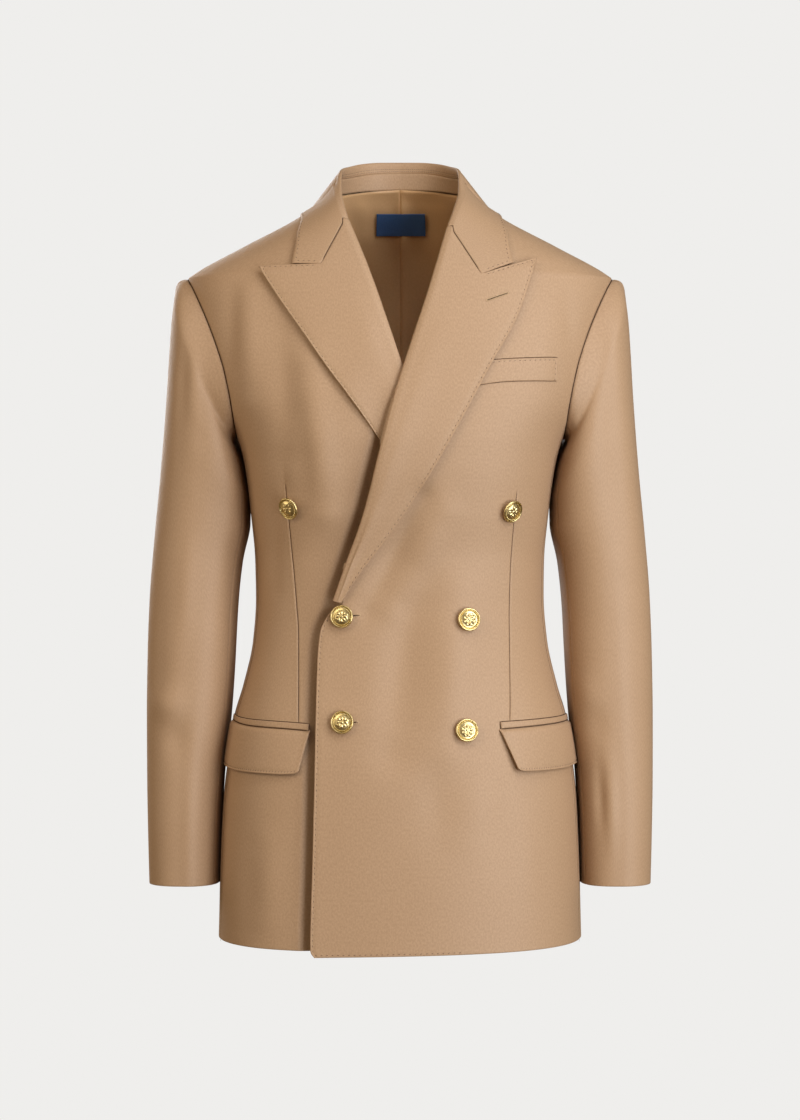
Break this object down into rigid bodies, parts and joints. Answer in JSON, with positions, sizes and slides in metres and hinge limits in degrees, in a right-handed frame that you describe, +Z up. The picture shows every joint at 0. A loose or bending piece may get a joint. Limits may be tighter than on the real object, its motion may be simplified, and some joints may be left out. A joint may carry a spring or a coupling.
{
  "type": "double-breasted blazer",
  "caption": "Fitted double-breasted wool blazer with peaked lapels, long sleeves, a breast welt, flapped hip pockets and gilt buttons, in hollow worn form.",
  "frame": {"origin": "in the hollow of the neck, level with the top of the shoulder seams, where the wearer's shoulders hold the blazer", "axes": "+Z up along the body, front faces -Y, the wearer's left is towards +X"},
  "size_m": [0.4952, 0.2569, 0.7728],
  "materials": {
    "wool": "camel wool twill, soft sheen",
    "lining": "golden brown satin",
    "label": "navy woven tape, blank",
    "button": "polished gilt"
  },
  "bodies": {
    "root": {"back_left": "wool", "back_right": "wool", "front_left": "wool", "front_right": "wool", "side_left": "wool", "side_right": "wool", "lapel_left": "wool", "lapel_right": "wool", "lining_left": "lining", "lining_right": "lining", "top_sleeve_left": "wool", "top_sleeve_right": "wool", "under_sleeve_left": "wool", "under_sleeve_right": "wool", "hip_flap_left": "wool", "hip_flap_right": "wool", "hip_jet_left": "wool", "hip_jet_right": "wool", "breast_welt": "wool", "collar_fall": "wool", "collar_stand": "wool", "neck_label": "label", "button_chest_left": "button", "button_chest_right": "button", "button_hip_edge": "button", "button_hip_inner": "button", "button_waist_edge": "button", "button_waist_inner": "button"}
  },
  "joints": []
}
